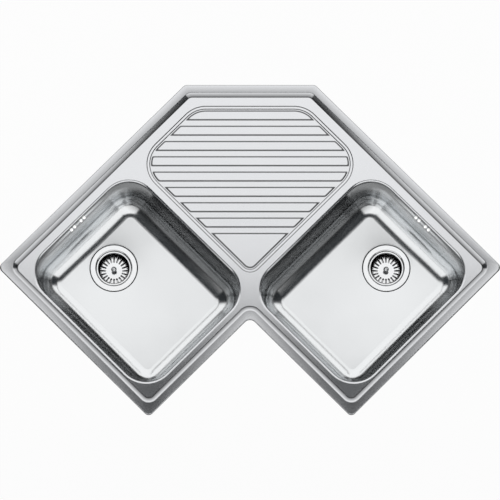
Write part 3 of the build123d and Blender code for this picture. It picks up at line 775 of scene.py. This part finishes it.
# %% Section of the strainer
well_radius, well_floor, flange_radius = 41.5, -209.5, 55.0
strainer_section = bent([(0.0, well_floor), (37.5, well_floor), (well_radius, well_floor + 4.0),
                         (well_radius, floor_z), (flange_radius, floor_z),
                         (flange_radius, floor_z - 1.2), (42.5, floor_z - 1.2),
                         (42.5, well_floor + 3.0), (38.5, well_floor - 1.0),
                         (0.0, well_floor - 1.0)],
                        [1.5, 2.0, 3.0, 0.5, 0.0, 0.0, 2.0, 1.5], 5)
tread, basket_top = -198.25, -166.5
basket_section = bent([(0.0, tread), (29.0, tread), (31.0, tread), (33.1, tread),
                       (37.1, tread + 4.0), (37.1, basket_top), (40.7, basket_top),
                       (40.7, basket_top - 1.0), (38.1, basket_top - 1.0), (38.1, tread + 3.0),
                       (34.1, tread - 1.0), (0.0, tread - 1.0)],
                      [0.0, 0.0, 2.0, 2.0, 0.9, 0.4, 0.4, 0.0, 2.0, 2.0], 5)
knob_radius, neck_radius = 6.5, 3.0
ball_z = tread + 14.0 + math.sqrt(knob_radius ** 2 - neck_radius ** 2)
ball = [(knob_radius * math.sin(a), ball_z + knob_radius * math.cos(a))
        for a in np.linspace(0.0, math.pi - math.asin(neck_radius / knob_radius), 24)]
knob_section = ball + [(neck_radius, tread + 1.8), (neck_radius + 1.2, tread), (0.0, tread)]

for side, hand in SIDES:
    x, y = wing_point(side, bowl_u, drain_v)
    # painted shade in the strainer's well, below the bowl's floor
    strainer = turned(f"{hand}_spun_strainer", side, strainer_section,
                      painted_shade=(0.0, 42.6, floor_z - 2.5))
    with_tree(strainer, slot_ring, Count=6, Radius=0.0096, Length=0.0066, Width=0.0066,
              Depth=0.004, Centre=(x * MM, y * MM, (well_floor - 2.5) * MM), Material=bowl_steel)
    dress(strainer, bright_steel, "sink", "stainless", f"{hand}_strainer")
    # painted shade on the basket's wall, below its top
    basket = turned(f"{hand}_slotted_basket", side, basket_section,
                    painted_shade=(30.5, 39.0, basket_top - 1.5))
    with_tree(basket, slot_ring, Count=20, Radius=0.02685, Length=0.0157, Width=0.0045,
              Depth=0.004, Centre=(x * MM, y * MM, (tread - 2.5) * MM), Material=bright_steel)
    dress(basket, bright_steel, f"{hand}_basket", "stainless", f"{hand}_basket")
    knob = turned(f"{hand}_turned_knob", side, knob_section, 30.0, 48)
    dress(knob, bright_steel, f"{hand}_basket", "polished_steel", f"{hand}_basket_knob")

# %% [markdown]
# ## The overflow
# A row of holes is punched through each bowl's back wall, just under the deck. In the
# photograph they are five bright dots, too small to tell what they are. The model takes
# the middle one for the screw of the box behind, and the others for snouts of translucent
# plastic. Under this light they came out dark, so a weak glow brings them to the
# photograph's brightness. One tree punches the row, and a second one sets the snouts on
# the same points, leaving out the middle.

# %% Trees: holes and snouts in a row
def row_of_points(given):
    """Points along X, their middle at the origin."""
    tree = given["Count"].id_data
    length = times(minus(given["Count"], 1.0), given["Pitch"])
    return geo(tree, "MeshLine", {
        "Count": given["Count"], "Offset": xyz(tree, given["Pitch"]),
        "Start Location": xyz(tree, times(length, -0.5))})


row_inputs = {"Count": 5, "Pitch": 0.0103, "Radius": 0.0028, "Depth": 0.006, "Turn": VECTOR,
              "Centre": VECTOR, "Material": MATERIAL}
hole_row, given, out = geometry_tree("holes in a row", **row_inputs)
drill = geo(hole_row, "MeshCylinder", {
    "Vertices": 24, "Radius": given["Radius"], "Depth": given["Depth"]})
copies = geo(hole_row, "InstanceOnPoints", {"Points": row_of_points(given), "Instance": drill})
finished(cut(given["Geometry"], placed(copies, given)), given, out)

snout_row, given, out = geometry_tree("snouts in a row", Wall=0.0009, **row_inputs)
middle = minus(given["Radius"], times(given["Wall"], 0.5))
circle = geo(snout_row, "CurvePrimitiveCircle", {"Resolution": 24, "Radius": middle}, mode="RADIUS")
upright = geo(snout_row, "SetCurveNormal", {"Curve": circle}, mode="Z_UP")
wall = rounded_bar(given["Wall"], given["Depth"], times(given["Wall"], 0.45), 4)
tube = geo(snout_row, "CurveToMesh", {"Curve": upright, "Profile Curve": wall})
half_row = times(minus(given["Count"], 1.0), 0.5)
away = calc("ABSOLUTE", minus(geo(snout_row, "InputIndex"), half_row))
copies = geo(snout_row, "InstanceOnPoints", {
    "Points": row_of_points(given), "Instance": tube, "Selection": calc("GREATER_THAN", away, 0.5)})
finished(placed(copies, given), given, out)
print("trees:", hole_row.name, "and", snout_row.name)

# %% [markdown]
# Both rows need the wall's own frame: its first direction runs level along the wall, and
# its third points into the bowl, leaning up by the draft.

# %% Overflow
overflow_z = deck_z - 24.0
snout_out = 0.0009              # metres from the wall's face to the snout's middle


def overflow_frame(side):
    """Turn and place of the overflow on a bowl's back wall."""
    v = bowl_v - bowl_half_v + (weld_z - overflow_z) * draft
    x, y = wing_point(side, bowl_u, v)
    lean, rise = math.cos(math.atan(draft)), math.sin(math.atan(draft))
    level = Vector((HALF, -side * HALF, 0.0))
    inward = Vector((-side * HALF * lean, -HALF * lean, rise))
    turn = Matrix((level, inward.cross(level), inward)).transposed().to_euler()
    return tuple(turn), Vector((x, y, overflow_z)) * MM, inward


for side, hand in SIDES:
    turn, centre, inward = overflow_frame(side)
    with_tree(bowls[hand], hole_row, Turn=turn, Centre=tuple(centre), Material=bowl_steel)
    dress(bowls[hand], bowl_steel, "sink", "stainless", f"{hand}_bowl")
    snouts = new_object(f"{hand}_overflow_snouts", bpy.data.meshes.new("snouts"))
    with_tree(snouts, snout_row, Radius=0.00275, Depth=0.0054,
              Turn=turn, Centre=tuple(centre + inward * snout_out), Material=glowing_plastic)
    dress(snouts, glowing_plastic, "sink", "white_plastic")

# %% [markdown]
# ## What follows a path
# A foam strip runs round the whole rim and seals it to the worktop. The overflow pipe
# hangs from the box behind each bowl and runs in to the waste cup; it is corrugated so
# that it can bend. One tree sweeps both. Its profile is a rounded bar, so round that it is a
# circle for the pipe, and its ripple narrows the profile again and again between two plain
# cuffs at the ends.

# %% Tree: profile along a path
sweep_tree, given, out = geometry_tree("profile along a path", Width=0.008, Height=0.003,
                                       Rounding=0.0005, Ripple=0.0, Pitch=0.005, Cuff=0.0,
                                       Level=True, Material=MATERIAL)
path = geo(sweep_tree, "MeshToCurve", {"Mesh": given["Geometry"]})
way = node(sweep_tree, "GeometryNodeSplineParameter").outputs["Length"]
to_end = minus(geo(sweep_tree, "SplineLength"), way)
inside = calc("GREATER_THAN", calc("MINIMUM", way, to_end), given["Cuff"])
waves = calc("DIVIDE", minus(way, given["Cuff"]), given["Pitch"])
wave = calc("COSINE", times(waves, 2 * math.pi))
dip = times(minus(1.0, wave), 0.5)
amount = times(times(dip, inside), given["Ripple"])
upright = geo(sweep_tree, "SetCurveNormal", {"Curve": path}, mode="Z_UP")
ready = geo(sweep_tree, "Switch", {"Switch": given["Level"], "False": path, "True": upright},
            input_type="GEOMETRY")
profile = rounded_bar(given["Width"], given["Height"], given["Rounding"], 8)
skin = geo(sweep_tree, "CurveToMesh", {
    "Curve": ready, "Profile Curve": profile, "Scale": minus(1.0, amount)})
finished(skin, given, out)
print("tree:", sweep_tree.name)


def path_object(name, points, closed):
    """A mesh of edges for a tree to follow, from points in millimetres."""
    mesh = bpy.data.meshes.new(name)
    count = len(points)
    edges = [(i, (i + 1) % count) for i in range(count if closed else count - 1)]
    mesh.from_pydata([tuple(c * MM for c in p) for p in points], edges, [])
    return new_object(name, mesh)


# %% Foam seal
seal_inset, seal_middle_z = 6.5, 1.4
seal_path = [(x, y, seal_middle_z) for x, y in rim_loop(seal_inset, 8)]
seal = path_object("foam_strip", seal_path, True)
with_tree(seal, sweep_tree, Width=0.008, Height=0.0027, Rounding=0.0008, Material=foam)
dress(seal, foam, "sink", "foam", "rim_seal")

# %% Overflow pipes
pipe_v, pipe_end_v, pipe_top_z, inlet_z = 41.75, 120.0, -40.48, -188.8
pipe_step, pipe_wall = 0.7, 1.2
turns = bent([(pipe_v, pipe_top_z), (pipe_v, inlet_z), (pipe_end_v, inlet_z)], [30.0], 24)
way = np.concatenate([[0.0], np.cumsum(np.hypot(*np.diff(np.array(turns), axis=0).T))])
steps = np.linspace(0.0, way[-1], int(way[-1] / pipe_step))
pipe_line = list(zip(np.interp(steps, way, [v for v, z in turns]),
                     np.interp(steps, way, [z for v, z in turns])))
for side, hand in SIDES:
    pipe = path_object(f"{hand}_corrugated_pipe",
                       [(*wing_point(side, bowl_u, v), z) for v, z in pipe_line], False)
    with_tree(pipe, sweep_tree, Width=0.0179, Height=0.0179, Rounding=0.00894, Ripple=0.07,
              Cuff=0.014, Level=False, Material=grey_plastic)
    thicken(pipe, pipe_wall)
    dress(pipe, grey_plastic, "sink", "grey_plastic", f"{hand}_overflow_pipe")

# %% [markdown]
# ## Threads
# Ten studs hang from plates welded under the deck, and the clamps' wing nuts run on them.
# A thread is a cylinder whose radius rises and falls with height and angle together, so
# one tree wraps a grid into a threaded rod, adds its plate and sets both on every place,
# turned the way the clamp faces when it is folded in.

# %% Tree: threaded studs
stud_tree, given, out = geometry_tree("threaded studs", Radius=0.0025, Pitch=0.0008, Thread=0.00045,
                                      Length=0.05, Rows=281, Plate=VECTOR, Material=MATERIAL)
grid = geo(stud_tree, "MeshGrid", {
    "Size X": 1.0, "Size Y": 1.0, "Vertices X": 13, "Vertices Y": given["Rows"]})
spot = node(stud_tree, "ShaderNodeSeparateXYZ", {0: geo(stud_tree, "InputPosition")}).outputs
depth_below = times(calc("ADD", spot["Y"], 0.5), given["Length"])
phase = calc("ADD", calc("DIVIDE", depth_below, given["Pitch"]), spot["X"])
tooth = times(calc("PINGPONG", phase, 0.5), times(given["Thread"], 2.0))
from_end = minus(0.5, calc("ABSOLUTE", spot["Y"]))
open_part = calc("GREATER_THAN", from_end, 0.0005)     # both ends shrink to a point
reach = times(minus(given["Radius"], tooth), open_part)
angle = times(spot["X"], 2 * math.pi)
wrapped = xyz(stud_tree, times(reach, calc("COSINE", angle)),
              times(reach, calc("SINE", angle)), times(depth_below, -1.0))
rolled_up = geo(stud_tree, "SetPosition", {
    "Geometry": geo(stud_tree, "FlipFaces", {"Mesh": grid}), "Position": wrapped})
rod = geo(stud_tree, "MergeByDistance", {"Geometry": rolled_up, "Distance": 1e-6})
plate = geo(stud_tree, "MeshCube", {"Size": given["Plate"]})
lift = times(given["Plate"], (0.0, 0.0, 0.5), kind=VECTOR_MATH)
raised = geo(stud_tree, "Transform", {"Geometry": plate, "Translation": lift})
heading = geo(stud_tree, "InputNamedAttribute", {"Name": "heading"}, data_type="FLOAT")
studs = geo(stud_tree, "InstanceOnPoints", {
    "Points": given["Geometry"], "Instance": joined(stud_tree, raised, rod),
    "Rotation": xyz(stud_tree, z=heading)})
finished(studs, given, out)
print("tree:", stud_tree.name, "with", len(stud_tree.nodes), "nodes")

# %% Studs under the deck
stud_inset, plate_z, stud_end_z = 34.8, -4.8, -61.0
back_stud_x = 100.0
places = []
for side in (-1, 1):
    for u, v, along_wall, into_room in (
            (110.0, stud_inset, 1, 0), (430.0, stud_inset, 1, 0),
            (stud_inset, wing_depth - 58.0, 0, 1),
            (wing_length - wing_depth - 63.0, wing_depth - stud_inset, -1, 0)):
        heading = math.atan2(along_wall - into_room, -side * (along_wall + into_room))
        places.append((*wing_point(side, u, v), heading))
    places.append((side * back_stud_x, back_edge_y(stud_inset), math.atan2(0.0, -side)))
stud_points = path_object("threaded_studs", [(x, y, plate_z) for x, y, turn in places], False)
turns = stud_points.data.attributes.new("heading", "FLOAT", "POINT")
turns.data.foreach_set("value", [turn for x, y, turn in places])
with_tree(stud_points, stud_tree, Length=(plate_z - stud_end_z) * MM,
          Plate=(0.030, 0.0084, 0.0015), Material=zinc)
dress(stud_points, zinc, "sink", "zinc_steel", "clamp_studs")

# %% [markdown]
# A wing nut is forged: a tapered hub with two rounded ears that fingers can turn. The tree
# joins the ears to the hub and bores the hole for the stud. Each nut is a piece of its own,
# because it swings with its clamp.

# %% Tree: wing nut
nut_tree, given, out = geometry_tree("wing nut", Hub=0.005, Height=0.006, Span=0.020, Ear=0.009,
                                     Sheet=0.002, Bore=0.00256, Turn=VECTOR, Centre=VECTOR,
                                     Material=MATERIAL)
cone = geo(nut_tree, "MeshCone", {
    "Vertices": 32, "Radius Top": given["Hub"], "Radius Bottom": times(given["Hub"], 0.8),
    "Depth": given["Height"]})
hub = geo(nut_tree, "Transform", {
    "Geometry": cone, "Translation": xyz(nut_tree, z=times(given["Height"], -1.0))})
ear_outline = rounded_bar(given["Span"], given["Ear"], times(given["Ear"], 0.4), 6)
lower = times(calc("ADD", given["Height"], given["Ear"]), -0.5)
ears = geo(nut_tree, "Transform", {
    "Geometry": plate_of(ear_outline, given["Sheet"]), "Rotation": (math.radians(90.0), 0.0, 0.0),
    "Translation": xyz(nut_tree, y=times(given["Sheet"], 0.5), z=lower)})
forged = node(nut_tree, "GeometryNodeMeshBoolean", operation="UNION", solver="EXACT")
for shape in (hub, ears):
    nut_tree.links.new(shape, forged.inputs["Mesh 2"])
bore = geo(nut_tree, "MeshCylinder", {
    "Vertices": 32, "Radius": given["Bore"], "Depth": times(given["Ear"], 4.0)})
finished(placed(cut(forged.outputs[0], bore), given), given, out)
print("tree:", nut_tree.name, "with", len(nut_tree.nodes), "nodes")

# %% Wing nuts on their clamps
arm_under_z = -49.0
for number, (x, y, heading) in enumerate(places, 1):
    nut = new_object(f"wing_nut_{number}", bpy.data.meshes.new("nut"))
    with_tree(nut, nut_tree, Turn=(0.0, 0.0, heading), Centre=(x * MM, y * MM, arm_under_z * MM),
              Material=zinc)
    dress(nut, zinc, f"clamp_{number}", "zinc_steel", f"clamp_nut_{number}")

# %% [markdown]
# ## The small pieces
# Seals, screws, clamps and the plastic waste keep their CAD shapes and get a finish each.

# %% Finishes of the CAD nodes
finish_of_slot = {
    "stainless": bowl_steel, "polished_steel": bright_steel, "zinc_steel": zinc, "foam": foam,
    "seal_rubber": rubber, "damping_rubber": damping, "white_plastic": white_plastic,
    "grey_plastic": grey_plastic,
}
for part in frame["record"]["subparts"]:
    piece = frame["nodes"][part["node"]]
    if not piece.hide_render:
        piece.data.materials.clear()
        piece.data.materials.append(finish_of_slot[part["material_slot"]])

# %% [markdown]
# ## Light
# Bare metal shows only what it reflects, so the room matters more than the lamps. A large
# soft panel hangs above the sink and behind it, its front edge a little back of the sink's
# middle. The flat deck mirrors the panel, and the tips nearest the camera already mirror
# the dark in front of it. An upright card on the room side is there for the bowls' walls.

# %% Floor
def flat_sheet(name, half_x, half_y, z, corners):
    """A rectangle with a material of its own. Its corners 0 to 3 go anticlockwise, seen from
    above, so the order in which the face takes them turns it up or down."""
    mesh = bpy.data.meshes.new(name)
    mesh.from_pydata([(-half_x, -half_y, z), (half_x, -half_y, z), (half_x, half_y, z),
                      (-half_x, half_y, z)], [], [corners])
    material = bpy.data.materials.new(name)
    material.use_nodes = True
    mesh.materials.append(material)
    return new_object(name, mesh), material.node_tree


floor_half, floor_gap, floor_white, camera_white = 8.0, 0.002, 0.9, 0.96
floor, tree = flat_sheet("floor", floor_half, floor_half, cad_bounds[0][2] - floor_gap, (0, 1, 2, 3))
shader = tree.nodes["Principled BSDF"]
shader.inputs["Base Color"].default_value = (floor_white, floor_white, floor_white, 1.0)
shader.inputs["Roughness"].default_value = 0.9
glow = node(tree, "ShaderNodeEmission", {"Color": (1, 1, 1, 1), "Strength": 1.0})
path = node(tree, "ShaderNodeLightPath").outputs
mirrored = calc("MAXIMUM", path["Is Glossy Ray"], path["Is Transmission Ray"])
shown = times(calc("MAXIMUM", path["Is Camera Ray"], mirrored), camera_white)
blend = node(tree, "ShaderNodeMixShader", {0: shown, 1: shader.outputs[0], 2: glow.outputs[0]})
tree.links.new(blend.outputs[0], tree.nodes["Material Output"].inputs["Surface"])

# %% World
dark_from, dark_over = 0.08, 0.10     # sine of the height where the dark starts, and its soft edge
dark_back, back_over = 0.22, 0.12     # how far to the back it reaches, and its soft edge
world = bpy.data.worlds.new("studio")
scene.world = world
world.use_nodes = True
tree = world.node_tree
tree.nodes.clear()
direction = node(tree, "ShaderNodeTexCoord").outputs["Generated"]
along = node(tree, "ShaderNodeSeparateXYZ", {0: direction}).outputs
gloom = times(ramp(along["Z"], dark_from, dark_from + dark_over),
             ramp(along["Y"], dark_back + back_over, dark_back))
room = mixed(tree, gloom, (1.0, 1.0, 1.0, 1.0), (0.02, 0.023, 0.026, 1.0))
path = node(tree, "ShaderNodeLightPath").outputs
backdrop = node(tree, "ShaderNodeBackground", {"Color": (1, 1, 1, 1), "Strength": 1.0})
studio = node(tree, "ShaderNodeBackground", {"Color": room, "Strength": 1.0})
blend = node(tree, "ShaderNodeMixShader", {0: path["Is Camera Ray"], 1: studio.outputs[0],
                                          2: backdrop.outputs[0]})
tree.links.new(blend.outputs[0], node(tree, "ShaderNodeOutputWorld").inputs["Surface"])

# %% Panels
def panel(name, centre, size, turn, strength, front_fade, side_fade):
    """A glowing sheet that the camera can't see, but reflections can."""
    half_x, half_y = size[0] / 2, size[1] / 2
    sheet_object, tree = flat_sheet(name, half_x, half_y, 0.0, (0, 3, 2, 1))
    sheet_object.location = centre
    sheet_object.rotation_euler = (math.radians(turn), 0, 0)
    sheet_object.visible_camera = False
    tree.nodes.clear()
    place = node(tree, "ShaderNodeSeparateXYZ",
                 {0: node(tree, "ShaderNodeTexCoord").outputs["Object"]}).outputs
    front = ramp(place["Y"], -half_y, -half_y + front_fade, 0.0, strength)
    sides = ramp(calc("ABSOLUTE", place["X"]), half_x - side_fade, half_x, 1.0, 0.0)
    light = node(tree, "ShaderNodeEmission", {"Strength": times(front, sides)})
    tree.links.new(light.outputs[0], node(tree, "ShaderNodeOutputMaterial").inputs["Surface"])


panel("overhead_panel", (0.0, 0.83, 2.0), (2.1, 2.16), 0.0, 1.0, 0.10, 0.3)
panel("front_card", (0.0, -0.95, 1.0), (1.8, 1.8), 90.0, 1.0, 0.05, 0.05)

# %% View
scene.view_settings.view_transform = "Standard"
